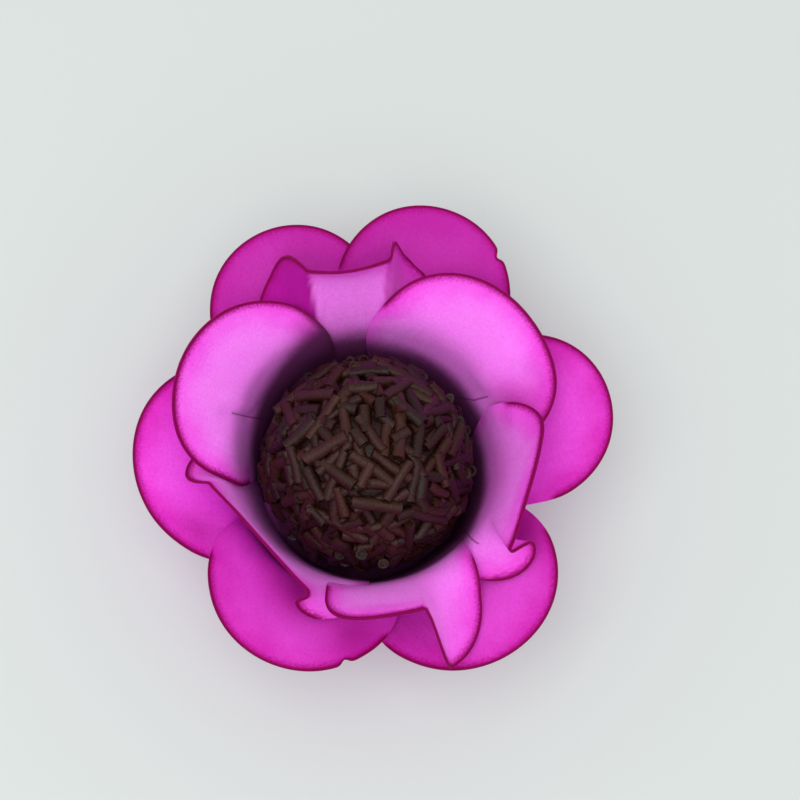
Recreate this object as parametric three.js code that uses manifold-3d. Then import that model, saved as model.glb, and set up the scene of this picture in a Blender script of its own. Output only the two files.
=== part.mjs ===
// A paper flower cup with one round sweet. Two round card blanks, each cut into six petals, are
// formed up around a well, glued base to base and set half a petal apart. The sweet is a ball
// rolled in short chocolate rods, and it rests in the well.
// Millimetres and degrees. The origin is the middle of the underside, and +Z is up.
import * as THREE from 'three';
import { mergeVertices } from 'three/addons/utils/BufferGeometryUtils.js';
import Module from 'manifold-3d';

const wasm = await Module();
wasm.setup();

// The sweet: its soft core and the rods that cover it. The cup is made to the sweet.
const CORE_RADIUS = 14.9;
const ROD_RADIUS = 0.95;
const ROD_LENGTH = 6.4;
const ROD_SINK = 0.1;
const ROD_COUNT = 56;

// Card and the gaps between the pieces.
const CARD = 0.35;
const BASE_CARD = 0.45;
const BASE_INSET = 0.3;
const GLUE_GAP = 0.3;
const REST_GAP = 0.3;

// How much narrower the inner blank's base is than the sweet's core, and how much wider the outer one's is.
const WELL_STEP = 0.6;
const NEST_STEP = 1.8;
const INNER_BASE = CORE_RADIUS - WELL_STEP;
const OUTER_BASE = INNER_BASE + NEST_STEP;
const INNER_FLOOR = BASE_CARD * 1.5 + GLUE_GAP;
const OUTER_FLOOR = BASE_CARD / 2;

// Each blank: outward lean of the well's wall, and half the width of a petal's root as a share of the base.
const OUTER_LEAN = 12;
const INNER_LEAN = 10;
const OUTER_ROOT = OUTER_BASE * 0.472;
const INNER_ROOT = INNER_BASE * 0.49;
const FOLD_RADIUS = 1.5;
const BASE_OVERLAP = 1.5;

// How far a petal's side passes in front of its neighbour or behind it, and the radius of a sharp crease.
const LAP = 0.4;
const CREASE_RADIUS = 0.8;

// A petal's edge rolls down over this width, and the other changes are complete over these lengths of card.
const LIP_WIDTH = 3;
const LIP_RISE = 5;
const LAP_RISE = 3;
const FOLD_RISE = 8;
const CUP_LEAD = 2;

// The drop of a side starts this far from the middle line and is complete this much further out.
const DROP_FROM = 2;
const DROP_OVER = 3;

// Grid of one petal: strips across it, rows up the neck and rows up the round lobe.
const STRIPS = 10;
const NECK_ROWS = 6;
const LOBE_ROWS = 6;

const rad = THREE.MathUtils.degToRad;

function ease(t) {
  const c = Math.min(1, Math.max(0, t));
  return c * c * (3 - 2 * c);
}

// The petals below were cut for a core of 14.9 mm. Their lengths follow the core, and their angles stay.
const SIZE = CORE_RADIUS / 14.9;
const LENGTHS = ['wall', 'bend', 'length', 'lobe', 'lip', 'creaseAt', 'foldFrom', 'foldTo'];

function sized(values) {
  const made = { ...values };
  for (const name of LENGTHS) {
    if (name in made) {
      made[name] *= SIZE;
    }
  }
  if ('cup' in made) {
    made.cup /= SIZE;
  }
  return made;
}

// One side of a petal. lap is 1 where it passes in front of its neighbour and -1 behind. fold turns the
// side back along a crease that runs from foldFrom to foldTo away from the middle line, and drop lowers it.
function side(lap, values = {}) {
  return sized({ lap, fold: 0, foldFrom: 9, foldTo: 9, drop: 0, ...values });
}

// heading: where it points, seen from above. twist: how far it swings round on its way out. wall: length of
// the straight wall. bend: length of the curve above it. flare: slope after the bend. tip: slope at its end.
// length: whole length from the base. lobe: radius of its round end. cup: extra curve across the lobe.
// lip: how far the edge rolls down. left is the anticlockwise side.
const outerPetals = [
  { heading: 117, twist: 0, wall: 13.2, flare: 31, tip: 13, length: 36.1, lobe: 13.2, laps: [-1, -1] },
  { heading: 70, twist: 2, wall: 13.2, flare: 30.5, tip: 14, length: 38, lobe: 13.5, laps: [1, 1] },
  { heading: 14, twist: -2, wall: 13.3, flare: 32, tip: 13.5, length: 36.3, lobe: 13, laps: [-1, 0] },
  { heading: -55.5, twist: 1, wall: 13.4, flare: 35.5, tip: 13, length: 36.7, lobe: 15.1, laps: [0, -1] },
  { heading: -115, twist: 0, wall: 13.5, flare: 40, tip: 15, length: 35.6, lobe: 14.9, laps: [1, 1] },
  { heading: -173, twist: -3, wall: 13.5, flare: 39, tip: 17, length: 35, lobe: 15.8, laps: [-1, 1] },
].map(({ laps, ...values }) => ({
  ...sized({ bend: 14, cup: 0, lip: 0.5, creaseAt: 21, ...values }),
  left: side(laps[0]),
  right: side(laps[1]),
  base: OUTER_BASE,
  floor: OUTER_FLOOR,
  lean: OUTER_LEAN,
  root: OUTER_ROOT,
}));

const innerPetals = [
  // The broad smooth petal.
  {
    heading: 145, twist: 12, wall: 22.8, bend: 4.2, flare: 48, tip: 47, length: 37.6, lobe: 14.7,
    cup: -0.02, lip: 0.2, left: side(1), right: side(1),
  },
  // The saddle, with both sides turned back.
  {
    heading: 98.5, twist: 0, wall: 17.9, bend: 9, flare: 65.5, tip: 120, length: 38, lobe: 13.6,
    cup: -0.07, lip: 0.5,
    left: side(-1, { fold: 43, foldFrom: 5.8, foldTo: 5.1 }),
    right: side(1, { fold: 60, foldFrom: 6, foldTo: 5.8 }),
  },
  // The second broad petal.
  {
    heading: 48, twist: -7.5, wall: 22.2, bend: 7.2, flare: 47, tip: 42, length: 37.7, lobe: 15.5,
    cup: -0.04, lip: 0.2, left: side(-1), right: side(-1),
  },
  // The steep petal with one wing creased back.
  {
    heading: -19, twist: 1.5, wall: 21, bend: 9, flare: 77, tip: 72, length: 37.5, lobe: 13.3,
    cup: -0.065, lip: 0.2, creaseAt: 22.5,
    left: side(1),
    right: side(-1, { fold: 105, foldFrom: 1.5, foldTo: 11.3 }),
  },
  // The petal that stands up on one side and drops to a point on the other.
  {
    heading: -72, twist: -6.5, wall: 22.3, bend: 8, flare: 68.5, tip: 73, length: 41, lobe: 11.2,
    cup: -0.03, lip: 0.5,
    left: side(1, { fold: 15, foldFrom: 2.8, foldTo: 2.7, drop: 48 }),
    right: side(-1),
  },
  // The upright petal with a hooked corner.
  {
    heading: -139, twist: 0.5, wall: 20.4, bend: 9, flare: 85, tip: 85, length: 37.4, lobe: 16.5,
    cup: -0.05, lip: 0.2, creaseAt: 20,
    left: side(1, { fold: 122, foldFrom: 10, foldTo: 10 }),
    right: side(-1),
  },
].map((values) => ({
  creaseAt: 21 * SIZE,
  ...sized(values),
  base: INNER_BASE,
  floor: INNER_FLOOR,
  lean: INNER_LEAN,
  root: INNER_ROOT,
}));

// Slope of the card at distance s up the petal and x across it, in radians.
function slopeAt(petal, x, s) {
  const wallSlope = rad(90 - petal.lean);
  if (s <= petal.wall) {
    return wallSlope * ease(s / (FOLD_RADIUS * wallSlope * 1.5));
  }
  const flare = rad(petal.flare);
  const bent = ease((s - petal.wall) / petal.bend);
  const start = petal.wall + petal.bend;
  const end = Math.min(1, Math.max(0, (s - start) / Math.max(0.5, petal.length - start)));
  const part = x < 0 ? petal.left : petal.right;
  const drop = rad(part.drop) * ease((Math.abs(x) - DROP_FROM) / DROP_OVER);
  return wallSlope + (flare - wallSlope) * bent + (rad(petal.tip) - flare) * end * end - drop * bent;
}

function halfWidth(petal, s) {
  const centre = petal.length - petal.lobe;
  const up = Math.min(1, Math.max(0, s / centre));
  return petal.root + (petal.lobe - petal.root) * Math.sin(Math.PI / 2 * up);
}

// Where the flat card's point (x, s) lies once the petal is formed. The middle line is followed up from
// the base, then the card is followed sideways, round the well's axis and over the crease.
function formed(petal, x, s) {
  const UP_STEPS = 100;
  const SIDE_STEPS = 36;
  let radius = petal.base;
  let height = petal.floor;
  for (let i = 0; i < UP_STEPS; i += 1) {
    const slope = slopeAt(petal, x, s * (i + 0.5) / UP_STEPS);
    radius += Math.cos(slope) * s / UP_STEPS;
    height += Math.sin(slope) * s / UP_STEPS;
  }
  const slope = slopeAt(petal, x, s);
  const part = x < 0 ? petal.left : petal.right;
  const facing = x < 0 ? -1 : 1;
  const inLobe = ease((s - petal.wall + CUP_LEAD) / (petal.length - petal.wall));
  const curve = Math.sin(slope) / radius + petal.cup * inLobe;
  const pastCrease = Math.min(1, Math.max(0, (s - petal.creaseAt) / (petal.length - petal.creaseAt)));
  const crease = part.foldFrom + (part.foldTo - part.foldFrom) * pastCrease;
  const folded = rad(part.fold) * ease((s - petal.creaseAt) / FOLD_RISE);
  const creaseWidth = Math.max(0.1, CREASE_RADIUS * rad(part.fold) * 1.5);
  let across = 0;
  let inward = 0;
  for (let i = 0; i < SIDE_STEPS; i += 1) {
    const at = x * (i + 0.5) / SIDE_STEPS;
    const turn = curve * at - facing * folded * ease((facing * at - crease) / creaseWidth);
    across += Math.cos(turn) * x / SIDE_STEPS;
    inward += Math.sin(turn) * x / SIDE_STEPS;
  }
  const width = halfWidth(petal, s);
  inward += LAP * part.lap * ease(Math.abs(x) / width) * ease(s / LAP_RISE);
  const centre = petal.length - petal.lobe;
  const toEdge = s > centre ? petal.lobe - Math.hypot(x, s - centre) : width - Math.abs(x);
  const rolled = 1 - Math.min(1, Math.max(0, toEdge / LIP_WIDTH));
  inward -= petal.lip * rolled * rolled * ease((s - petal.wall) / LIP_RISE);
  const heading = rad(petal.heading + petal.twist * ease(s / petal.length));
  const out = new THREE.Vector3(Math.cos(heading), Math.sin(heading), 0);
  const along = new THREE.Vector3(Math.sin(heading), -Math.cos(heading), 0);
  const face = out.clone().multiplyScalar(-Math.sin(slope)).setZ(Math.cos(slope));
  return out.multiplyScalar(radius).setZ(height).addScaledVector(along, across).addScaledVector(face, inward);
}

// A point of the card at a distance above or below its middle surface.
function onCard(petal, x, s, offset) {
  const STEP = 0.05;
  const point = formed(petal, x, s);
  const sideways = formed(petal, x - Math.sign(x || 1) * STEP, s).sub(point).multiplyScalar(-Math.sign(x || 1));
  const upward = formed(petal, x, s - STEP).sub(point).negate();
  const normal = sideways.cross(upward).normalize();
  return point.addScaledVector(normal, offset);
}

// The flat point under a grid position: u runs across from -1 to 1, and row counts from the base to the tip.
function flatPoint(petal, u, row) {
  const spread = Math.sin(Math.PI / 2 * u);
  const centre = petal.length - petal.lobe;
  if (row <= NECK_ROWS) {
    const s = -BASE_OVERLAP + (centre + BASE_OVERLAP) * (row / NECK_ROWS) ** 1.5;
    return [spread * halfWidth(petal, s), s];
  }
  const rise = Math.sin(Math.PI / 2 * (row - NECK_ROWS) / LOBE_ROWS);
  const x = spread * petal.lobe * Math.sqrt(1 - rise * rise / 2);
  const s = centre + rise * petal.lobe * Math.sqrt(1 - spread * spread / 2);
  return [x, s];
}

// A petal is a thin box, divided into a grid and laid along the formed card.
function petalGeometry(petal) {
  const rows = NECK_ROWS + LOBE_ROWS;
  const geometry = new THREE.BoxGeometry(2, rows, 1, STRIPS, rows, 1);
  const position = geometry.getAttribute('position');
  for (let i = 0; i < position.count; i += 1) {
    const row = Math.round(position.getY(i) + rows / 2);
    const [x, s] = flatPoint(petal, position.getX(i), row);
    const point = onCard(petal, x, s, position.getZ(i) * CARD);
    position.setXYZ(i, point.x, point.y, point.z);
  }
  return geometry;
}

function solid(geometry) {
  const bare = new THREE.BufferGeometry();
  bare.setAttribute('position', geometry.getAttribute('position'));
  bare.setIndex(geometry.getIndex());
  const merged = mergeVertices(bare, 1e-4);
  return new wasm.Manifold(new wasm.Mesh({
    numProp: 3,
    vertProperties: Float32Array.from(merged.getAttribute('position').array),
    triVerts: Uint32Array.from(merged.getIndex().array),
  }));
}

function mesh(name, shape, look) {
  const { vertProperties, triVerts } = shape.getMesh();
  const geometry = new THREE.BufferGeometry();
  geometry.setAttribute('position', new THREE.BufferAttribute(vertProperties, 3));
  geometry.setIndex(new THREE.BufferAttribute(triVerts, 1));
  geometry.computeVertexNormals();
  const made = new THREE.Mesh(geometry, new THREE.MeshStandardMaterial(look));
  made.name = name;
  return made;
}

// One blank: the round base and its six petals, all one piece of card.
function blank(name, petals, colour) {
  const { base, floor } = petals[0];
  const disc = new THREE.CylinderGeometry(base - BASE_INSET, base - BASE_INSET, BASE_CARD, 36);
  disc.rotateX(Math.PI / 2);
  disc.translate(0, 0, floor);
  let shape = solid(disc);
  for (const petal of petals) {
    shape = shape.add(solid(petalGeometry(petal)));
  }
  return mesh(name, shape, { color: colour, roughness: 0.8, metalness: 0, side: THREE.DoubleSide });
}

// The sweet: rods laid flat on the core at even spacing, each turned its own way, all stuck to it as one piece.
function sweet() {
  const GOLDEN = Math.PI * (3 - Math.sqrt(5));
  let shape = solid(new THREE.SphereGeometry(CORE_RADIUS, 14, 10).rotateX(Math.PI / 2));
  const up = new THREE.Vector3(0, 0, 1);
  for (let i = 0; i < ROD_COUNT; i += 1) {
    const z = 1 - 2 * (i + 0.5) / ROD_COUNT;
    const ring = Math.sqrt(1 - z * z);
    const normal = new THREE.Vector3(ring * Math.cos(GOLDEN * i), ring * Math.sin(GOLDEN * i), z);
    const length = ROD_LENGTH * (0.8 + 0.4 * ((i * 7) % 10) / 10);
    const rod = new THREE.CylinderGeometry(ROD_RADIUS, ROD_RADIUS, length, 4);
    rod.rotateZ((i * 2.399 * 1.7) % Math.PI);
    rod.applyQuaternion(new THREE.Quaternion().setFromUnitVectors(up, normal));
    rod.translate(...normal.multiplyScalar(CORE_RADIUS - ROD_SINK).toArray());
    shape = shape.add(solid(rod));
  }
  const made = mesh('candy', shape, { color: 0x3a2620, roughness: 0.45, metalness: 0 });
  made.geometry.computeBoundingBox();
  const rest = INNER_FLOOR + BASE_CARD / 2 + REST_GAP;
  made.geometry.translate(0, 0, rest - made.geometry.boundingBox.min.z);
  return made;
}

const group = new THREE.Group();
group.add(blank('outer_petals', outerPetals, 0xd43bbf));
group.add(blank('inner_petals', innerPetals, 0xf36ce8));
group.add(sweet());

export default group;
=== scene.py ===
# A paper flower cup with one round sweet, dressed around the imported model.
# Sizes are in millimetres until a mesh is made, because card and rolled sweets are measured that way.
import math
import bmesh
import bpy
import numpy as np
from mathutils import Matrix, Vector


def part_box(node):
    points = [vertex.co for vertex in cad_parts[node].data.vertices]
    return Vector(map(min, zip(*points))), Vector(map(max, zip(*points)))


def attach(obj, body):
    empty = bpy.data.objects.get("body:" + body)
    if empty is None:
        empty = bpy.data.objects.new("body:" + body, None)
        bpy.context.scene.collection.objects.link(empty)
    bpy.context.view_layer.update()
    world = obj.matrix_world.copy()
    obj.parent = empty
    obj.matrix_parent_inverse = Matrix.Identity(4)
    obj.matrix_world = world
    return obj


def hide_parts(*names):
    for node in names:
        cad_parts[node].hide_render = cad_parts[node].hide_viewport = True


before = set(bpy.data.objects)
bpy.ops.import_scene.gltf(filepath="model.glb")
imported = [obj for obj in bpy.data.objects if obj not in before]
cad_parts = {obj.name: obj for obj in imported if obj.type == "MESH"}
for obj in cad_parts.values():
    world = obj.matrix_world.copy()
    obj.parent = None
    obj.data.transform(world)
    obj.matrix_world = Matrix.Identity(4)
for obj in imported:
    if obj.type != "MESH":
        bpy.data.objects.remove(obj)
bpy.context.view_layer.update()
MM = 0.001

# Outer petal layer: one round blank of dyed card, cut into six petals that are curved up and outwards by
# hand. Each petal is a thin sheet laid on a surface that is followed up its middle line and then sideways.
CARD = 0.35
BASE_CARD = 0.45
BASE_OVERLAP = 1.5
BASE_INSET = 0.3
FOLD_RADIUS = 1.5
CREASE_RADIUS = 0.8

# The radius of the well's floor, and how much wider this layer's base is. Then the lean of its wall, the
# length of the bend above it and half the width of a petal's root.
WELL_RADIUS = 14.3
NEST_STEP = 1.8
OUTER_BASE = WELL_RADIUS + NEST_STEP
OUTER_FLOOR = BASE_CARD / 2
OUTER_LEAN = 12.0
OUTER_BEND = 14.0
OUTER_ROOT = 7.6

# How far a side passes in front of its neighbour or behind it, and the width of the edge that rolls down.
# The other changes are complete over these lengths of card. The cup across the lobe starts CUP_LEAD before
# the wall ends, and a dropped side starts DROP_FROM away from the middle line.
LAP = 0.4
LAP_RISE = 3.0
LIP_WIDTH = 3.0
LIP_RISE = 5.0
FOLD_RISE = 8.0
CUP_LEAD = 2.0
DROP_FROM = 2.0
DROP_OVER = 3.0

# Steps that follow the surface up a petal and across it. A smooth step is steepest at its middle, by this
# factor over a straight one.
STEPS_UP = 140
STEPS_ACROSS = 60
EASE_PEAK = 1.5

# Distances up a petal: where the dark spray in the well thins out, where the red rim begins, and how much
# further up it is complete. Lower down, the distance to the edge is raised by BARE_EDGE, so no rim shows.
OUTER_SPRAY = 15.0
RIM_FROM = 22.5
RIM_RISE = 3.0
BARE_EDGE = 2.0

# A nick's width, and the painted shade, as deeper colour, on a side that is turned back away from the
# light: it begins along the crease and slants in towards the well.
NICK_WIDTH = 0.7
WING_SLANT = 0.09
WING_EDGE = 0.7
WING_FROM = 18.0
WING_RISE = 4.0


def ease(t):
    """A smooth step from 0 to 1."""
    t = np.clip(t, 0.0, 1.0)
    return t * t * (3.0 - 2.0 * t)


def side(lap, fold=0.0, fold_from=9.0, fold_to=9.0, drop=0.0):
    """One side of a petal: lap is 1 in front of its neighbour and -1 behind it.

    fold turns the side back along a crease, which runs from fold_from to fold_to away from the middle line.
    drop lowers the side. Both are in degrees."""
    return {"lap": lap, "fold": fold, "fold_from": fold_from, "fold_to": fold_to, "drop": drop}


def outer(dye_and_shade, heading, twist, wall, flare, tip, length, lobe, left, right):
    """The depth of dye and painted shade, and the sizes of one outer petal, from its straight wall to its
    round lobe.
    """
    return {
        "heading": heading, "twist": twist, "wall": wall, "bend": OUTER_BEND, "flare": flare, "tip": tip,
        "length": length, "lobe": lobe, "cup": 0.0, "lip": 0.5, "crease_at": 21.0, "base": OUTER_BASE,
        "floor": OUTER_FLOOR, "lean": OUTER_LEAN, "root": OUTER_ROOT, "left": left, "right": right,
        "spray": OUTER_SPRAY, "dye_and_shade": dye_and_shade,
    }


# The first number is the depth of dye and painted shade: the two petals at the back, behind the tall inner
# ones, are deepest, as painted shade where those petals shade them.
OUTER_PETALS = [
    outer(0.75, 117, 0, 13.2, 31, 13, 36.1, 13.2, side(-1), side(-1)),
    outer(0.8, 70, 2, 13.2, 30.5, 14, 38, 13.5, side(1), side(1)),
    outer(0.3, 14, -2, 13.3, 32, 13.5, 36.3, 13, side(-1), side(0)),
    outer(0.4, -55.5, 1, 13.4, 35.5, 13, 36.7, 15.1, side(0), side(-1)),
    outer(0.4, -115, 0, 13.5, 40, 15, 35.6, 14.9, side(1), side(1)),
    outer(0.05, -173, -3, 13.5, 39, 17, 35, 15.8, side(-1), side(1)),
]

# Patches of painted shade, as deeper colour where the inner petals shade the outer ones, as x, distance up
# the petal, amount and width. Then a nick in the cut edge of two petals, as x, distance up the petal and
# depth.
OUTER_PETALS[3]["drifts"] = [(-13.0, 22.0, 0.7, 4.5), (11.0, 24.5, 0.4, 5.0)]
OUTER_PETALS[4]["drifts"] = [(0.0, 22.0, 0.5, 5.0), (-10.0, 26.5, 0.5, 4.0)]
OUTER_PETALS[5]["drifts"] = [(-10.5, 25.0, 0.6, 4.0)]
OUTER_PETALS[1]["nicks"] = [(9.5, 33.9, 0.7)]
OUTER_PETALS[4]["nicks"] = [(-10.6, 31.2, 0.7)]


def pick(x, petal, name):
    """A side's value, left or right, for each point of the card."""
    return np.where(x < 0, petal["left"][name], petal["right"][name])


def slope_at(petal, x, s):
    """Slope of the card at distance s up the petal, in radians."""
    wall_slope = math.radians(90 - petal["lean"])
    flare = math.radians(petal["flare"])
    bent = ease((s - petal["wall"]) / petal["bend"])
    start = petal["wall"] + petal["bend"]
    end = np.clip((s - start) / max(0.5, petal["length"] - start), 0.0, 1.0)
    rising = wall_slope * ease(s / (FOLD_RADIUS * wall_slope * EASE_PEAK))
    drop = np.radians(pick(x, petal, "drop")) * ease((np.abs(x) - DROP_FROM) / DROP_OVER)
    slope = np.where(s > petal["wall"], wall_slope + (flare - wall_slope) * bent, rising)
    return slope + (math.radians(petal["tip"]) - flare) * end * end - drop * bent


def half_width(petal, s):
    """Half the width of the flat petal below its lobe."""
    up = np.clip(s / (petal["length"] - petal["lobe"]), 0.0, 1.0)
    return petal["root"] + (petal["lobe"] - petal["root"]) * np.sin(math.pi / 2 * up)


def to_edge(petal, x, s):
    """Distance on the flat card from a point to the petal's cut edge."""
    centre = petal["length"] - petal["lobe"]
    return np.where(s > centre, petal["lobe"] - np.hypot(x, s - centre), half_width(petal, s) - np.abs(x))


def crease_line(petal, x, s):
    """How far a side's crease lies from the middle line, at distance s up the petal."""
    past = np.clip((s - petal["crease_at"]) / (petal["length"] - petal["crease_at"]), 0.0, 1.0)
    fold_from = pick(x, petal, "fold_from")
    return fold_from + (pick(x, petal, "fold_to") - fold_from) * past


def pinched(petal, x, s):
    """How far the shallow creases left by fingers push the card inwards, in millimetres."""
    depth = np.zeros_like(x)
    for x0, s0, x1, s1, push, width in petal.get("pinches", ()):
        dx = x1 - x0
        ds = s1 - s0
        share = np.clip(((x - x0) * dx + (s - s0) * ds) / (dx * dx + ds * ds), 0.0, 1.0)
        away = np.hypot(x - x0 - share * dx, s - s0 - share * ds)
        depth += push * np.exp(-(away / width) ** 2)
    return depth


def formed(petal, x, s):
    """Where the flat card's points (x, s) lie once the petal is formed, in millimetres."""
    up_steps = (np.arange(STEPS_UP) + 0.5) / STEPS_UP
    slope = slope_at(petal, x[:, None], s[:, None] * up_steps)
    radius = petal["base"] + (np.cos(slope) * s[:, None] / STEPS_UP).sum(1)
    height = petal["floor"] + (np.sin(slope) * s[:, None] / STEPS_UP).sum(1)
    slope = slope_at(petal, x, s)
    in_lobe = ease((s - petal["wall"] + CUP_LEAD) / (petal["length"] - petal["wall"]))
    curve = np.sin(slope) / radius + petal["cup"] * in_lobe
    crease = crease_line(petal, x, s)
    fold = np.radians(pick(x, petal, "fold"))
    crease_width = np.maximum(0.1, CREASE_RADIUS * fold * EASE_PEAK)
    facing = np.where(x < 0, -1.0, 1.0)
    side_steps = (np.arange(STEPS_ACROSS) + 0.5) / STEPS_ACROSS
    at = x[:, None] * side_steps
    over = ease((facing[:, None] * at - crease[:, None]) / crease_width[:, None])
    folded = facing * fold * ease((s - petal["crease_at"]) / FOLD_RISE)
    turn = curve[:, None] * at - folded[:, None] * over
    across = (np.cos(turn) * x[:, None] / STEPS_ACROSS).sum(1)
    inward = (np.sin(turn) * x[:, None] / STEPS_ACROSS).sum(1)
    inward += LAP * pick(x, petal, "lap") * ease(np.abs(x) / half_width(petal, s)) * ease(s / LAP_RISE)
    rolled = 1.0 - np.clip(to_edge(petal, x, s) / LIP_WIDTH, 0.0, 1.0)
    inward -= petal["lip"] * rolled * rolled * ease((s - petal["wall"]) / LIP_RISE)
    inward += pinched(petal, x, s)
    heading = np.radians(petal["heading"] + petal["twist"] * ease(s / petal["length"]))
    zero = np.zeros_like(s)
    out = np.stack([np.cos(heading), np.sin(heading), zero], 1)
    along = np.stack([np.sin(heading), -np.cos(heading), zero], 1)
    upward = np.array([0.0, 0.0, 1.0])
    face = -np.sin(slope)[:, None] * out + np.cos(slope)[:, None] * upward
    place = out * radius[:, None] + upward * height[:, None]
    return place + along * across[:, None] + face * inward[:, None]


def flat_grid(petal, strips=56, neck_rows=34, lobe_rows=30):
    """Flat points of the card on a grid that bends round the lobe, as two arrays of rows."""
    spread = np.sin(math.pi / 2 * np.linspace(-1, 1, strips + 1))
    centre = petal["length"] - petal["lobe"]
    xs = []
    ss = []
    for row in range(neck_rows + 1):
        s = -BASE_OVERLAP + (centre + BASE_OVERLAP) * row / neck_rows
        xs.append(spread * half_width(petal, s))
        ss.append(np.full_like(spread, s))
    for row in range(1, lobe_rows + 1):
        rise = math.sin(math.pi / 2 * row / lobe_rows)
        xs.append(spread * petal["lobe"] * math.sqrt(1 - rise * rise / 2))
        ss.append(centre + rise * petal["lobe"] * np.sqrt(1 - spread * spread / 2))
    return np.array(xs), np.array(ss)


def nicked(petal, x, s):
    """The flat points, drawn in towards the lobe's centre where the cut edge has a nick."""
    centre = petal["length"] - petal["lobe"]
    for nick_x, nick_s, bite in petal.get("nicks", ()):
        near = bite * np.exp(-((x - nick_x) ** 2 + (s - nick_s) ** 2) / NICK_WIDTH ** 2)
        out = np.hypot(x, s - centre) + 0.001
        x = x * (1.0 - near / out)
        s = s - near * (s - centre) / out
    return x, s


def dye_and_shade_at(petal, x, s):
    """Depth of dye and painted shade, 0 to 1: the petal's own share, its patches of painted shade and its
    shaded turned-back sides.
    """
    dye_and_shade = np.full_like(s, petal["dye_and_shade"])
    for patch_x, patch_s, amount, width in petal.get("drifts", ()):
        dye_and_shade += amount * np.exp(-((x - patch_x) ** 2 + (s - patch_s) ** 2) / width ** 2)
    left_wing_shade, right_wing_shade = petal.get("wings", (0.0, 0.0))
    slant = WING_SLANT * (petal["length"] - s)
    turned = ease((np.abs(x) - crease_line(petal, x, s) + slant) / WING_EDGE)
    dye_and_shade += np.where(x < 0, left_wing_shade, right_wing_shade) * turned * ease((s - WING_FROM) / WING_RISE)
    return np.clip(dye_and_shade, 0.0, 1.0)


def petal_sheet(petal):
    """Points, faces and surface facts of one petal: its front, its back and the cut edge that joins them."""
    xs, ss = flat_grid(petal)
    rows, columns = xs.shape
    edge = np.clip(to_edge(petal, xs.ravel(), ss.ravel()), 0.0, None)
    x, s = nicked(petal, xs.ravel(), ss.ravel())
    # The card's normal comes from two points a short step away on the surface.
    step = 0.05
    facing = np.where(x < 0, -1.0, 1.0)
    point = formed(petal, x, s)
    sideways = (point - formed(petal, x - facing * step, s)) * facing[:, None]
    upward = point - formed(petal, x, s - step)
    normal = np.cross(sideways, upward)
    normal /= np.linalg.norm(normal, axis=1)[:, None]
    verts = np.concatenate([point + normal * CARD / 2, point - normal * CARD / 2])
    count = len(x)
    faces = []
    for i in range(rows - 1):
        for j in range(columns - 1):
            a = i * columns + j
            b = a + columns
            faces.append((a, a + 1, b + 1, b))
            faces.append((count + a, count + b, count + b + 1, count + a + 1))
    rim = list(range(columns))
    rim += [i * columns + columns - 1 for i in range(1, rows)]
    rim += [(rows - 1) * columns + j for j in range(columns - 2, -1, -1)]
    rim += [i * columns for i in range(rows - 2, 0, -1)]
    for a, b in zip(rim, rim[1:] + rim[:1]):
        faces.append((a, count + a, count + b, b))
    # Low on the petal the cut edge stays bare.
    bare = 1.0 - ease((s - petal.get("rim_from", RIM_FROM)) / RIM_RISE)
    facts = {
        "edge_mm": np.tile(edge + BARE_EDGE * bare, 2),
        "above_spray_mm": np.tile(s - petal["spray"] - petal.get("slant", 0.0) * x, 2),
        "inside": np.repeat([1.0, 0.0], count),
        "dye_and_shade": np.tile(dye_and_shade_at(petal, x, s), 2),
        "card_mm": np.tile(np.stack([x, s, np.full_like(x, petal["heading"])], 1), (2, 1)),
    }
    return verts, faces, facts


def base_disc(radius, floor):
    """Points, faces and surface facts of the round base that the petals are folded up from."""
    count = 96
    far_from_edge = 9.0
    deep_in_well = -20.0
    turn = np.linspace(0, 2 * math.pi, count, endpoint=False)
    ring = np.stack([np.cos(turn), np.sin(turn)], 1) * radius
    low = np.column_stack([ring, np.full(count, floor - BASE_CARD / 2)])
    high = np.column_stack([ring, np.full(count, floor + BASE_CARD / 2)])
    faces = [tuple(range(count, 2 * count)), tuple(range(count - 1, -1, -1))]
    for i in range(count):
        j = (i + 1) % count
        faces.append((i, j, count + j, count + i))
    verts = np.concatenate([low, high])
    facts = {
        "edge_mm": np.full(2 * count, far_from_edge),
        "above_spray_mm": np.full(2 * count, deep_in_well),
        "inside": np.repeat([0.0, 1.0], count),
        "dye_and_shade": np.full(2 * count, 0.5),
        "card_mm": verts.copy(),
    }
    return verts, faces, facts


def blank(name, petals, base, floor):
    """One formed blank as an object: its base and its petals, with the facts that its finish reads."""
    parts = [base_disc(base - BASE_INSET, floor)] + [petal_sheet(petal) for petal in petals]
    verts = np.concatenate([part[0] for part in parts])
    faces = []
    start = 0
    for part in parts:
        faces += [tuple(start + i for i in face) for face in part[1]]
        start += len(part[0])
    mesh = bpy.data.meshes.new(name)
    mesh.from_pydata((verts * MM).tolist(), [], faces)
    for fact in ("edge_mm", "above_spray_mm", "inside", "dye_and_shade"):
        values = np.concatenate([part[2][fact] for part in parts]).astype(np.float32)
        mesh.attributes.new(fact, "FLOAT", "POINT").data.foreach_set("value", values)
    card = np.concatenate([part[2]["card_mm"] for part in parts]).astype(np.float32)
    mesh.attributes.new("card_mm", "FLOAT_VECTOR", "POINT").data.foreach_set("vector", card.ravel())
    mesh.shade_smooth()
    mesh.set_sharp_from_angle(angle=math.radians(50))
    made = bpy.data.objects.new(name, mesh)
    bpy.context.scene.collection.objects.link(made)
    return made


def linear(hex_code):
    """A colour written as sRGB hex, in the linear values that the shader takes."""
    values = [int(hex_code[i:i + 2], 16) / 255 for i in (0, 2, 4)]
    return tuple(v / 12.92 if v <= 0.04045 else ((v + 0.055) / 1.055) ** 2.4 for v in values) + (1.0,)


def add_node(tree, kind, settings, inputs):
    """Adds a node with its settings. An input is given a value, or another node's output to be linked to."""
    node = tree.nodes.new(kind)
    for key, value in settings.items():
        setattr(node, key, value)
    for key, value in inputs.items():
        if isinstance(value, bpy.types.NodeSocket):
            tree.links.new(value, node.inputs[key])
        else:
            node.inputs[key].default_value = value
    return node


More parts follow.
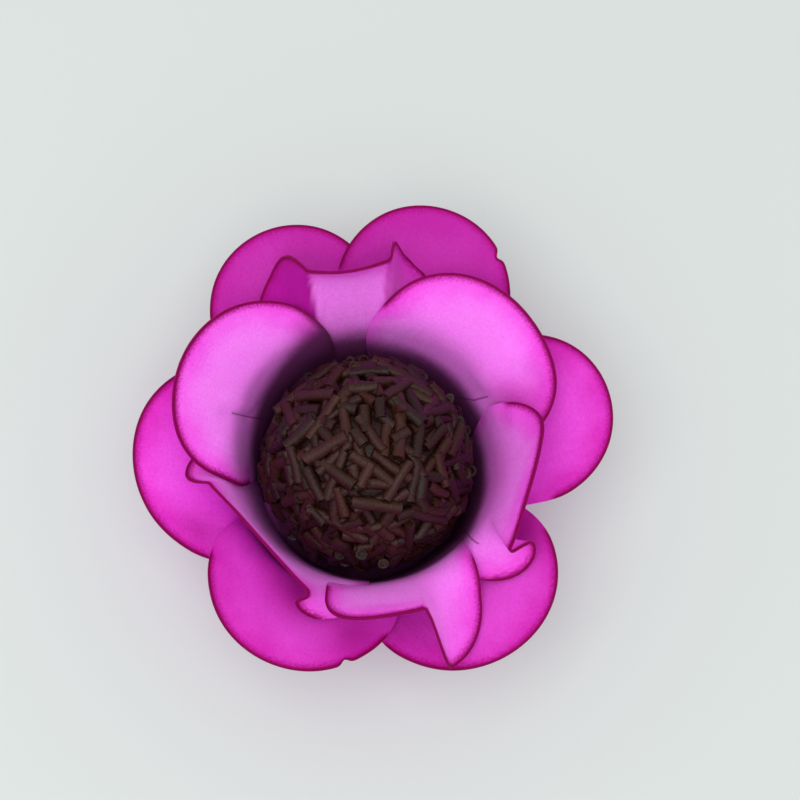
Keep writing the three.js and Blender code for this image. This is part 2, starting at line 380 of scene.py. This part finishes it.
def sprayed_rim(tree, below, edge, inside, speck):
    """Wine-red spray on the cut edge: teeth that reach about 1 mm in, and a solid line 0.35 mm wide."""
    teeth = add_node(tree, "ShaderNodeMath", {"operation": "MULTIPLY_ADD"}, {0: speck, 1: -2.4, 2: 1.3})
    ragged = add_node(tree, "ShaderNodeMath", {"operation": "ADD"}, {0: edge, 1: teeth.outputs[0]})
    rim = add_node(tree, "ShaderNodeMapRange", {"interpolation_type": "SMOOTHSTEP"}, {
        "Value": ragged.outputs[0], "From Min": 0.3, "From Max": 1.45, "To Min": 0.95, "To Max": 0.0,
    })
    # Little of it got round to the backs.
    share = add_node(tree, "ShaderNodeMapRange", {}, {"Value": inside, "To Min": 0.3, "To Max": 1.0})
    shown = add_node(tree, "ShaderNodeMath", {"operation": "MULTIPLY"}, {
        0: rim.outputs[0], 1: share.outputs[0],
    })
    rimmed = add_node(tree, "ShaderNodeMix", {"data_type": "RGBA"}, {
        "Factor": shown.outputs[0], 6: below, 7: linear("a6047c"),
    })
    line = add_node(tree, "ShaderNodeMapRange", {"interpolation_type": "SMOOTHSTEP"}, {
        "Value": edge, "From Min": 0.18, "From Max": 0.56, "To Min": 1.0, "To Max": 0.0,
    })
    lined = add_node(tree, "ShaderNodeMix", {"data_type": "RGBA"}, {
        "Factor": line.outputs[0], 6: rimmed.outputs[2], 7: linear("7c0048"),
    })
    return lined.outputs[2]


def sprayed_well(tree, below, above, inside, cloud, speck):
    """Dark purple spray in the well, over the cut lines too: a veil that thins out over about 6 mm, and a
    heavier coat lower down."""
    reach = add_node(tree, "ShaderNodeMath", {"operation": "MULTIPLY_ADD"}, {0: cloud, 1: 2.4, 2: above})
    drift = add_node(tree, "ShaderNodeMath", {"operation": "MULTIPLY_ADD"}, {
        0: speck, 1: 1.6, 2: reach.outputs[0],
    })
    veil = add_node(tree, "ShaderNodeMapRange", {"interpolation_type": "SMOOTHSTEP"}, {
        "Value": drift.outputs[0], "From Min": -1.5, "From Max": 5.0, "To Min": 0.96, "To Max": 0.0,
    })
    heavy = add_node(tree, "ShaderNodeMapRange", {"interpolation_type": "SMOOTHSTEP"}, {
        "Value": drift.outputs[0], "From Min": -10.0, "From Max": 0.0, "To Min": 1.0, "To Max": 0.0,
    })
    spray = add_node(tree, "ShaderNodeMix", {"data_type": "RGBA"}, {
        "Factor": heavy.outputs[0], 6: linear("6a2c5e"), 7: linear("3c1432"),
    })
    shown = add_node(tree, "ShaderNodeMath", {"operation": "MULTIPLY"}, {0: veil.outputs[0], 1: inside})
    covered = add_node(tree, "ShaderNodeMix", {"data_type": "RGBA"}, {
        "Factor": shown.outputs[0], 6: below, 7: spray.outputs[2],
    })
    return covered.outputs[2]


def with_shaded_slits(tree, below, card, speck, slits):
    """Painted shade in hairline cuts from forming: a dark line for each gap, straight from one place on the
    card to another.
    """
    seen = below
    for heading, x0, s0, x1, s1 in slits:
        way = (x1 - x0, s1 - s0, 0.0)
        from_start = add_node(tree, "ShaderNodeVectorMath", {"operation": "SUBTRACT"}, {
            0: card, 1: (x0, s0, heading),
        })
        share = add_node(tree, "ShaderNodeVectorMath", {"operation": "DOT_PRODUCT"}, {
            0: from_start.outputs[0], 1: way,
        })
        kept = add_node(tree, "ShaderNodeMath", {"operation": "DIVIDE", "use_clamp": True}, {
            0: share.outputs["Value"], 1: math.hypot(x1 - x0, s1 - s0) ** 2,
        })
        foot = add_node(tree, "ShaderNodeVectorMath", {"operation": "SCALE"}, {
            0: way, "Scale": kept.outputs[0],
        })
        away = add_node(tree, "ShaderNodeVectorMath", {"operation": "DISTANCE"}, {
            0: from_start.outputs[0], 1: foot.outputs[0],
        })
        ragged = add_node(tree, "ShaderNodeMath", {"operation": "MULTIPLY_ADD"}, {
            0: speck, 1: 0.35, 2: away.outputs["Value"],
        })
        gap = add_node(tree, "ShaderNodeMapRange", {"interpolation_type": "SMOOTHSTEP"}, {
            "Value": ragged.outputs[0], "From Min": 0.16, "From Max": 0.44, "To Min": 0.7, "To Max": 0.0,
        })
        # Painted shade: a dark purple line where the gap would be in shade.
        slit_shade = add_node(tree, "ShaderNodeMix", {"data_type": "RGBA"}, {
            "Factor": gap.outputs[0], 6: seen, 7: linear("581048"),
        })
        seen = slit_shade.outputs[2]
    return seen


def dyed_card(name, middle, towards_edge, deep_dye_and_shade, slits=()):
    """Uncoated card, dyed through and airbrushed: a dry, faintly fibrous face with a sprayed, speckled edge.

    The colour is deeper towards the edge, the deep colour is also painted shade in patches and on
    turned-back sides, the cut line is wine red, the slits are painted shade and the well is dark. It has
    hardly any gloss, so it keeps its strong colour from every side."""
    material = bpy.data.materials.new(name)
    material.use_nodes = True
    tree = material.node_tree
    shader = tree.nodes["Principled BSDF"]
    edge = add_node(tree, "ShaderNodeAttribute", {"attribute_name": "edge_mm"}, {}).outputs["Fac"]
    above = add_node(tree, "ShaderNodeAttribute", {"attribute_name": "above_spray_mm"}, {}).outputs["Fac"]
    inside = add_node(tree, "ShaderNodeAttribute", {"attribute_name": "inside"}, {}).outputs["Fac"]
    dye_and_shade = add_node(tree, "ShaderNodeAttribute", {"attribute_name": "dye_and_shade"}, {}).outputs["Fac"]
    card = add_node(tree, "ShaderNodeAttribute", {"attribute_name": "card_mm"}, {}).outputs["Vector"]
    # Noise in cells per millimetre: clouds of dye 6 mm wide, fibres 0.4 mm wide and specks of spray 0.3 mm.
    cloud = add_node(tree, "ShaderNodeTexNoise", {}, {
        "Vector": card, "Scale": 0.16, "Detail": 3.0,
    }).outputs["Fac"]
    fibre = add_node(tree, "ShaderNodeTexNoise", {}, {
        "Vector": card, "Scale": 2.4, "Detail": 4.0,
    }).outputs["Fac"]
    speck = add_node(tree, "ShaderNodeTexNoise", {}, {
        "Vector": card, "Scale": 3.0, "Detail": 5.0, "Roughness": 0.75,
    }).outputs["Fac"]
    wander = add_node(tree, "ShaderNodeMath", {"operation": "MULTIPLY_ADD"}, {0: cloud, 1: 6.0, 2: edge})
    deepen = add_node(tree, "ShaderNodeMapRange", {"interpolation_type": "SMOOTHSTEP"}, {
        "Value": wander.outputs[0], "From Min": 2.5, "From Max": 9.0,
    })
    face = add_node(tree, "ShaderNodeMix", {"data_type": "RGBA"}, {
        "Factor": deepen.outputs[0], 6: linear(towards_edge), 7: linear(middle),
    })
    # The deep colour also stands for painted shade: on the two back outer petals, in patches, and on
    # turned-back sides.
    dyed_and_shaded = add_node(tree, "ShaderNodeMix", {"data_type": "RGBA"}, {
        "Factor": dye_and_shade, 6: face.outputs[2], 7: linear(deep_dye_and_shade),
    })
    mottle = add_node(tree, "ShaderNodeMapRange", {}, {
        "Value": fibre, "From Min": 0.3, "From Max": 0.7, "To Min": 0.9, "To Max": 1.05,
    })
    worked = add_node(tree, "ShaderNodeVectorMath", {"operation": "SCALE"}, {
        0: dyed_and_shaded.outputs[2], "Scale": mottle.outputs[0],
    })
    rimmed = sprayed_rim(tree, worked.outputs[0], edge, inside, speck)
    darkened = sprayed_well(tree, rimmed, above, inside, cloud, speck)
    seen = with_shaded_slits(tree, darkened, card, speck, slits)
    # Long shallow creases from forming by hand, a few millimetres apart, and the fibres' own grain.
    stretch = add_node(tree, "ShaderNodeVectorMath", {"operation": "MULTIPLY"}, {
        0: card, 1: (0.5, 0.12, 1.0),
    })
    crease = add_node(tree, "ShaderNodeTexNoise", {}, {
        "Vector": stretch.outputs[0], "Scale": 1.0, "Detail": 2.0,
    }).outputs["Fac"]
    waves = add_node(tree, "ShaderNodeBump", {}, {"Strength": 0.5, "Distance": 0.5 * MM, "Height": crease})
    grain = add_node(tree, "ShaderNodeBump", {}, {
        "Strength": 0.25, "Distance": 0.03 * MM, "Height": fibre, "Normal": waves.outputs[0],
    })
    tree.links.new(seen, shader.inputs["Base Color"])
    tree.links.new(grain.outputs[0], shader.inputs["Normal"])
    shader.inputs["Roughness"].default_value = 0.8
    shader.inputs["IOR"].default_value = 1.45
    shader.inputs["Specular IOR Level"].default_value = 0.1
    # Card this thin lets a little light through, so the shaded side of a petal still glows.
    shader.inputs["Subsurface Weight"].default_value = 0.6
    shader.inputs["Subsurface Radius"].default_value = (1.0, 0.5, 0.95)
    shader.inputs["Subsurface Scale"].default_value = CARD * 2 * MM
    return material


outer_layer = blank("outer_petal_layer", OUTER_PETALS, OUTER_BASE, OUTER_FLOOR)
outer_layer.data.materials.append(dyed_card("dyed_card_sprayed_edge", "f860ee", "da2cc0", "b01e96"))
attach(outer_layer, "root")
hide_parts("outer_petals")

# Inner petal layer: a second blank of the same card, glued base to base and set half a petal round. Its
# walls stand up round the well and its petals flare, fold and roll each in its own way.
GLUE_GAP = 0.3
INNER_FLOOR = BASE_CARD * 1.5 + GLUE_GAP
INNER_LEAN = 10.0
INNER_ROOT = 7.0


def inner(dye_and_shade, spray, heading, twist, wall, bend, flare, tip, length, lobe, cup, lip, left, right,
          crease_at=21.0):
    """The dye, the reach of the well's spray and the sizes of one inner petal."""
    return {
        "heading": heading, "twist": twist, "wall": wall, "bend": bend, "flare": flare, "tip": tip,
        "length": length, "lobe": lobe, "cup": cup, "lip": lip, "crease_at": crease_at,
        "base": WELL_RADIUS, "floor": INNER_FLOOR, "lean": INNER_LEAN, "root": INNER_ROOT,
        "left": left, "right": right, "spray": spray, "dye_and_shade": dye_and_shade,
    }


INNER_PETALS = [
    inner(0.0, 17.4, 145, 12, 22.8, 4.2, 48, 47, 37.6, 14.7, -0.02, 0.2, side(1), side(1)),
    inner(0.05, 19.7, 98.5, 0, 17.9, 9, 65.5, 120, 38, 13.6, -0.07, 0.5,
          side(-1, 43, 5.8, 5.1), side(-1, 60, 6, 5.8)),
    inner(0.05, 16.4, 48, -7.5, 22.2, 7.2, 47, 42, 37.7, 15.5, -0.04, 0.2, side(1), side(-1)),
    inner(0.15, 16.6, -19, 1.5, 21, 9, 77, 72, 37.5, 13.3, -0.065, 0.2,
          side(1), side(-1, 105, 1.5, 11.3), 22.5),
    inner(0.1, 18, -72, -6.5, 22.3, 8, 68.5, 73, 41, 11.2, -0.03, 0.5, side(1, 15, 2.8, 2.7, 48), side(-1)),
    inner(0.05, 6, -139, 0.5, 20.4, 9, 85, 85, 37.4, 16.5, -0.05, 0.2,
          side(1, 122, 10, 10), side(-1, 45, 10, 9), 20),
]
broad, saddle, second, steep, standing, hooked = INNER_PETALS

# The well's spray reaches higher on one side of some petals, by this much for each millimetre sideways. On
# the broad petal the red rim begins low down, and the saddle's turned-back sides carry painted shade, as
# deeper colour.
broad["slant"] = 0.5
steep["slant"] = 0.28
standing["slant"] = -0.5
hooked["slant"] = -0.9
broad["rim_from"] = 12.0
saddle["wings"] = (0.95, 0.6)
# Painted shade in patches: in the hollow where the second petal meets the steep one, and low on the steep
# petal beside it.
second["drifts"] = [(9.0, 25.5, 0.65, 4.0), (12.5, 30.0, 0.35, 4.0)]
steep["drifts"] = [(-3.0, 19.0, 0.2, 7.0)]

# Marks of the hands, from one place on the petal to another, with their push inwards and their width: a
# pinched ridge on the broad petal, and hollows where the second one meets the steep one.
broad["pinches"] = [(-4.4, 26.8, -3.6, 18.2, -0.45, 0.9), (-3.0, 27.5, -2.2, 19.0, 0.35, 0.9)]
second["pinches"] = [(9.6, 21.5, 8.4, 30.0, -1.2, 2.6), (3.6, 24.0, 3.0, 31.0, 0.4, 2.0)]
steep["pinches"] = [(-12.3, 22.5, -11.3, 26.5, 0.5, 1.6)]

# Slits where the card gave way beside the well, drawn as lines of painted shade: the petal's heading, and
# where each one starts and ends.
SLITS = [
    (145, -4.3, 25.0, -3.6, 18.2), (145, -3.6, 18.2, -2.4, 11.2),
    (48, 2.4, 11.2, 4.9, 16.8), (48, 4.9, 16.8, 6.0, 22.0),
    (-19, 4.5, 11.5, 8.2, 23.6),
]
inner_layer = blank("inner_petal_layer", INNER_PETALS, WELL_RADIUS, INNER_FLOOR)
inner_card = dyed_card("dyed_card_sprayed_edge_and_well", "fe86fb", "f04cde", "b4149c", SLITS)
inner_layer.data.materials.append(inner_card)
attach(inner_layer, "root")
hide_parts("inner_petals")

# The sweet: a soft ball of cooked milk and cocoa, rolled in short extruded chocolate rods until they cover
# it. A first coat is pressed in every way round, and a looser second coat lies across that. The rods are a
# little bent and lumpy, with blunt broken ends.
CORE_RADIUS = 14.5
ROD_RADIUS = 0.92
ROD_LENGTH = 5.4
ROD_BEND = 1.3
FIRST_SPACING = 2.1
FIRST_LIFT = 0.2
FIRST_SEED = 5
SECOND_SPACING = 3.6
SECOND_LIFT = 0.75
SECOND_SEED = 11

# The sweet leans this far off the well's axis, towards the camera's side.
LEAN = Vector((-0.2 * MM, -0.8 * MM, 0.0))
candy_low, candy_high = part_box("candy")
candy_middle = (candy_low + candy_high) / 2 + LEAN


def broken_rod(tree, given):
    """One rod, with each end broken to a shallow hollow with a rough rim, as a mesh output."""
    rod = add_node(tree, "GeometryNodeMeshCylinder", {"fill_type": "NGON"}, {
        "Vertices": 9, "Side Segments": 6, "Radius": given.outputs["Rod Radius"],
        "Depth": given.outputs["Rod Length"],
    })
    ends = add_node(tree, "FunctionNodeBooleanMath", {"operation": "OR"}, {
        0: rod.outputs["Top"], 1: rod.outputs["Bottom"],
    })
    rimmed = add_node(tree, "GeometryNodeExtrudeMesh", {"mode": "FACES"}, {
        "Mesh": rod.outputs["Mesh"], "Selection": ends.outputs[0], "Offset Scale": 0.0,
    })
    drawn_in = add_node(tree, "GeometryNodeScaleElements", {"domain": "FACE"}, {
        "Geometry": rimmed.outputs["Mesh"], "Selection": rimmed.outputs["Top"], "Scale": 0.6,
    })
    hollow = add_node(tree, "GeometryNodeExtrudeMesh", {"mode": "FACES"}, {
        "Mesh": drawn_in.outputs[0], "Selection": rimmed.outputs["Top"], "Offset Scale": -0.35 * MM,
    })
    return hollow.outputs["Mesh"]


def chocolate_rods():
    """A node tree that covers a ball with rods: its inputs are the rods' sizes, spacing, lift and a seed."""
    tree = bpy.data.node_groups.new("chocolate_rods", "GeometryNodeTree")
    for label, kind, value in (
        ("Geometry", "NodeSocketGeometry", None),
        ("Rod Radius", "NodeSocketFloat", ROD_RADIUS * MM),
        ("Rod Length", "NodeSocketFloat", ROD_LENGTH * MM),
        ("Spacing", "NodeSocketFloat", FIRST_SPACING * MM),
        ("Lift", "NodeSocketFloat", FIRST_LIFT * MM),
        ("Bend", "NodeSocketFloat", ROD_BEND * MM),
        ("Seed", "NodeSocketInt", FIRST_SEED),
        ("Material", "NodeSocketMaterial", None),
    ):
        socket = tree.interface.new_socket(label, in_out="INPUT", socket_type=kind)
        if value is not None:
            socket.default_value = value
    tree.interface.new_socket("Geometry", in_out="OUTPUT", socket_type="NodeSocketGeometry")
    given = add_node(tree, "NodeGroupInput", {}, {})
    # Many more spots are tried than fit at this spacing.
    spots = add_node(tree, "GeometryNodeDistributePointsOnFaces", {"distribute_method": "POISSON"}, {
        "Mesh": given.outputs["Geometry"], "Distance Min": given.outputs["Spacing"],
        "Density Max": 900000.0, "Seed": given.outputs["Seed"],
    })
    outwards = add_node(tree, "ShaderNodeVectorMath", {"operation": "SCALE"}, {
        0: spots.outputs["Normal"], "Scale": given.outputs["Lift"],
    })
    lifted = add_node(tree, "GeometryNodeSetPosition", {}, {
        "Geometry": spots.outputs["Points"], "Offset": outwards.outputs[0],
    })
    # A rod stands along the ball's normal at first, so it is laid down by a quarter turn about its own X,
    # a few degrees more or less, and then swung round to any heading.
    tilt = add_node(tree, "FunctionNodeRandomValue", {"data_type": "FLOAT"}, {
        2: math.radians(80), 3: math.radians(100), "Seed": 2,
    })
    swing = add_node(tree, "FunctionNodeRandomValue", {"data_type": "FLOAT"}, {
        2: 0.0, 3: 2 * math.pi, "Seed": 3,
    })
    lie = add_node(tree, "ShaderNodeCombineXYZ", {}, {"X": tilt.outputs[1], "Z": swing.outputs[1]})
    upright = add_node(tree, "FunctionNodeAlignRotationToVector", {"axis": "Z"}, {
        "Vector": spots.outputs["Normal"],
    })
    turned = add_node(tree, "FunctionNodeRotateRotation", {"rotation_space": "LOCAL"}, {
        "Rotation": upright.outputs[0], "Rotate By": lie.outputs[0],
    })
    # The rods differ a little in thickness and a lot in length, since they break anywhere.
    thick = add_node(tree, "FunctionNodeRandomValue", {"data_type": "FLOAT"}, {2: 0.82, 3: 1.08, "Seed": 4})
    long = add_node(tree, "FunctionNodeRandomValue", {"data_type": "FLOAT"}, {2: 0.45, 3: 1.4, "Seed": 6})
    scale = add_node(tree, "ShaderNodeCombineXYZ", {}, {
        "X": thick.outputs[1], "Y": thick.outputs[1], "Z": long.outputs[1],
    })
    laid = add_node(tree, "GeometryNodeInstanceOnPoints", {}, {
        "Points": lifted.outputs[0], "Instance": broken_rod(tree, given),
        "Rotation": turned.outputs[0], "Scale": scale.outputs[0],
    })
    shade = add_node(tree, "FunctionNodeRandomValue", {"data_type": "FLOAT"}, {2: 0.0, 3: 1.0, "Seed": 7})
    on_each_rod = {"data_type": "FLOAT", "domain": "INSTANCE"}
    shaded = add_node(tree, "GeometryNodeStoreNamedAttribute", on_each_rod, {
        "Geometry": laid.outputs[0], "Name": "shade", "Value": shade.outputs[1],
    })
    real = add_node(tree, "GeometryNodeRealizeInstances", {}, {"Geometry": shaded.outputs[0]})
    # Soft waves 5 mm long bend each rod in its own way, and finer ones leave lumps along it.
    place = add_node(tree, "GeometryNodeInputPosition", {}, {})
    waves = add_node(tree, "ShaderNodeTexNoise", {"noise_dimensions": "3D"}, {
        "Vector": place.outputs[0], "Scale": 200.0, "Detail": 2.5, "Roughness": 0.55,
    })
    centred = add_node(tree, "ShaderNodeVectorMath", {"operation": "SUBTRACT"}, {
        0: waves.outputs["Color"], 1: (0.5, 0.5, 0.5),
    })
    bent = add_node(tree, "ShaderNodeVectorMath", {"operation": "SCALE"}, {
        0: centred.outputs[0], "Scale": given.outputs["Bend"],
    })
    shaped = add_node(tree, "GeometryNodeSetPosition", {}, {
        "Geometry": real.outputs[0], "Offset": bent.outputs[0],
    })
    done = add_node(tree, "GeometryNodeSetMaterial", {}, {
        "Geometry": shaped.outputs[0], "Material": given.outputs["Material"],
    })
    add_node(tree, "NodeGroupOutput", {}, {"Geometry": done.outputs[0]})
    return tree


def extruded_chocolate():
    """Compound chocolate pressed through holes and dried: dark, a little waxy, with a fine rough skin."""
    material = bpy.data.materials.new("extruded_chocolate")
    material.use_nodes = True
    tree = material.node_tree
    shader = tree.nodes["Principled BSDF"]
    place = add_node(tree, "ShaderNodeTexCoord", {}, {}).outputs["Object"]
    shade = add_node(tree, "ShaderNodeAttribute", {"attribute_name": "shade"}, {}).outputs["Fac"]
    # Pits and crumbs about 0.4 mm wide, which also break up the gloss into small glints.
    pits = add_node(tree, "ShaderNodeTexNoise", {}, {
        "Vector": place, "Scale": 2600.0, "Detail": 4.0, "Roughness": 0.65,
    }).outputs["Fac"]
    mixed = add_node(tree, "ShaderNodeMath", {"operation": "MULTIPLY_ADD"}, {0: pits, 1: 0.9, 2: shade})
    pale = add_node(tree, "ShaderNodeMapRange", {}, {
        "Value": mixed.outputs[0], "From Min": 0.2, "From Max": 1.6,
    })
    colour = add_node(tree, "ShaderNodeMix", {"data_type": "RGBA"}, {
        "Factor": pale.outputs[0], 6: linear("160705"), 7: linear("3a1a12"),
    })
    gloss = add_node(tree, "ShaderNodeMapRange", {}, {
        "Value": pits, "From Min": 0.35, "From Max": 0.65, "To Min": 0.2, "To Max": 0.48,
    })
    skin = add_node(tree, "ShaderNodeBump", {}, {"Strength": 0.8, "Distance": 0.16 * MM, "Height": pits})
    tree.links.new(colour.outputs[2], shader.inputs["Base Color"])
    tree.links.new(gloss.outputs[0], shader.inputs["Roughness"])
    tree.links.new(skin.outputs[0], shader.inputs["Normal"])
    shader.inputs["IOR"].default_value = 1.5
    shader.inputs["Specular IOR Level"].default_value = 0.22
    return material


def ball(name, radius, middle, segments=48, rings=24):
    """A round closed ball as an object, with its place in its mesh."""
    verts = [Vector((0, 0, -1))]
    for i in range(1, rings):
        up = math.pi * i / rings - math.pi / 2
        for j in range(segments):
            turn = 2 * math.pi * j / segments
            flat = math.cos(up)
            verts.append(Vector((flat * math.cos(turn), flat * math.sin(turn), math.sin(up))))
    verts.append(Vector((0, 0, 1)))
    top = 1 + (rings - 2) * segments
    faces = []
    for j in range(segments):
        k = (j + 1) % segments
        faces.append((0, 1 + k, 1 + j))
        faces.append((len(verts) - 1, top + j, top + k))
        for i in range(rings - 2):
            a = 1 + i * segments
            faces.append((a + j, a + k, a + segments + k, a + segments + j))
    mesh = bpy.data.meshes.new(name)
    mesh.from_pydata([middle + v * radius for v in verts], [], faces)
    mesh.shade_smooth()
    made = bpy.data.objects.new(name, mesh)
    bpy.context.scene.collection.objects.link(made)
    return made


def coat(core, tree, spacing, lift, seed, material):
    """The rods of one coat, laid over the core by the node tree, as a plain mesh."""
    cover = core.modifiers.new("rods", "NODES")
    cover.node_group = tree
    sockets = {item.name: item.identifier for item in tree.interface.items_tree if item.in_out == "INPUT"}
    cover[sockets["Rod Radius"]] = ROD_RADIUS * MM
    cover[sockets["Rod Length"]] = ROD_LENGTH * MM
    cover[sockets["Spacing"]] = spacing * MM
    cover[sockets["Lift"]] = lift * MM
    cover[sockets["Bend"]] = ROD_BEND * MM
    cover[sockets["Seed"]] = seed
    cover[sockets["Material"]] = material
    graph = bpy.context.evaluated_depsgraph_get()
    laid = bpy.data.meshes.new_from_object(core.evaluated_get(graph), depsgraph=graph)
    core.modifiers.clear()
    return laid


chocolate = extruded_chocolate()
rods = chocolate_rods()
sweet = ball("sweet", CORE_RADIUS * MM, candy_middle)
sweet.data.materials.append(chocolate)
coated = bmesh.new()
coated.from_mesh(sweet.data)
for spacing, lift, seed in (
    (FIRST_SPACING, FIRST_LIFT, FIRST_SEED),
    (SECOND_SPACING, SECOND_LIFT, SECOND_SEED),
):
    laid = coat(sweet, rods, spacing, lift, seed, chocolate)
    coated.from_mesh(laid)
    bpy.data.meshes.remove(laid)
coated.to_mesh(sweet.data)
coated.free()
sweet.data.shade_smooth()
sweet.data.set_sharp_from_angle(angle=math.radians(55))
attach(sweet, "root")
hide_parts("candy")

# The table that the cup stands on: a plain pale board, painted matt. It is far wider than the cup, so that
# its own edges stay away from it.
FLOOR_SIZE = 3.0
half = FLOOR_SIZE / 2
floor_mesh = bpy.data.meshes.new("floor")
corners = [(-half, -half, 0), (half, -half, 0), (half, half, 0), (-half, half, 0)]
floor_mesh.from_pydata(corners, [], [(0, 1, 2, 3)])
floor = bpy.data.objects.new("floor", floor_mesh)
bpy.context.scene.collection.objects.link(floor)
paint = bpy.data.materials.new("matt_painted_board")
paint.use_nodes = True
paint.node_tree.nodes["Principled BSDF"].inputs["Base Color"].default_value = linear("ccd3d0")
paint.node_tree.nodes["Principled BSDF"].inputs["Roughness"].default_value = 0.85
floor_mesh.materials.append(paint)

# Soft studio light: a large lamp overhead, a little on the camera's side of the cup, and an even pale room.
# The room gives most of the light, so the shadows on the board stay faint.
KEY_WATTS = 2.0
KEY_SIZE = 0.45
ROOM_STRENGTH = 0.77
key_place = Vector((-0.08, -0.12, 0.6))
key_target = Vector((0, 0, 0.03))
lamp = bpy.data.lights.new("softbox", "AREA")
lamp.energy = KEY_WATTS
lamp.size = KEY_SIZE
key = bpy.data.objects.new("softbox", lamp)
key.location = key_place
key.rotation_euler = (key_place - key_target).to_track_quat("Z", "Y").to_euler()
bpy.context.scene.collection.objects.link(key)
room = bpy.data.worlds.new("room")
room.use_nodes = True
room.node_tree.nodes["Background"].inputs["Color"].default_value = (1.0, 1.0, 1.0, 1.0)
room.node_tree.nodes["Background"].inputs["Strength"].default_value = ROOM_STRENGTH
bpy.context.scene.world = room
bpy.context.scene.view_settings.view_transform = "Standard"

# The camera looks almost straight down into the cup, 230 mm away, from a little to one side. The ring of
# petals lies left of the picture's middle and below it, by these numbers of pixels.
CAMERA_DISTANCE = 230.0
FOCAL_PIXELS = 1610.0
IMAGE_PIXELS = 800.0
SENSOR = 36.0
LEFT_PIXELS = 30.0
BELOW_PIXELS = 40.0
elevation = math.radians(76)
azimuth = math.radians(-11)
ring_middle = Vector((0, 0, 30))
back = Vector((
    math.sin(azimuth) * math.cos(elevation), -math.cos(azimuth) * math.cos(elevation), math.sin(elevation),
))
right = (-back).cross(Vector((0, 1, 0))).normalized()
up = back.cross(right)
pixel = CAMERA_DISTANCE / FOCAL_PIXELS
eye = ring_middle + back * CAMERA_DISTANCE + right * LEFT_PIXELS * pixel + up * BELOW_PIXELS * pixel
lens = bpy.data.cameras.new("camera")
lens.sensor_width = SENSOR
lens.lens = SENSOR * FOCAL_PIXELS / IMAGE_PIXELS
lens.clip_start = 0.01
camera = bpy.data.objects.new("camera", lens)
camera.matrix_world = Matrix.Translation(eye * MM) @ Matrix((right, up, back)).transposed().to_4x4()
bpy.context.scene.collection.objects.link(camera)
bpy.context.scene.camera = camera
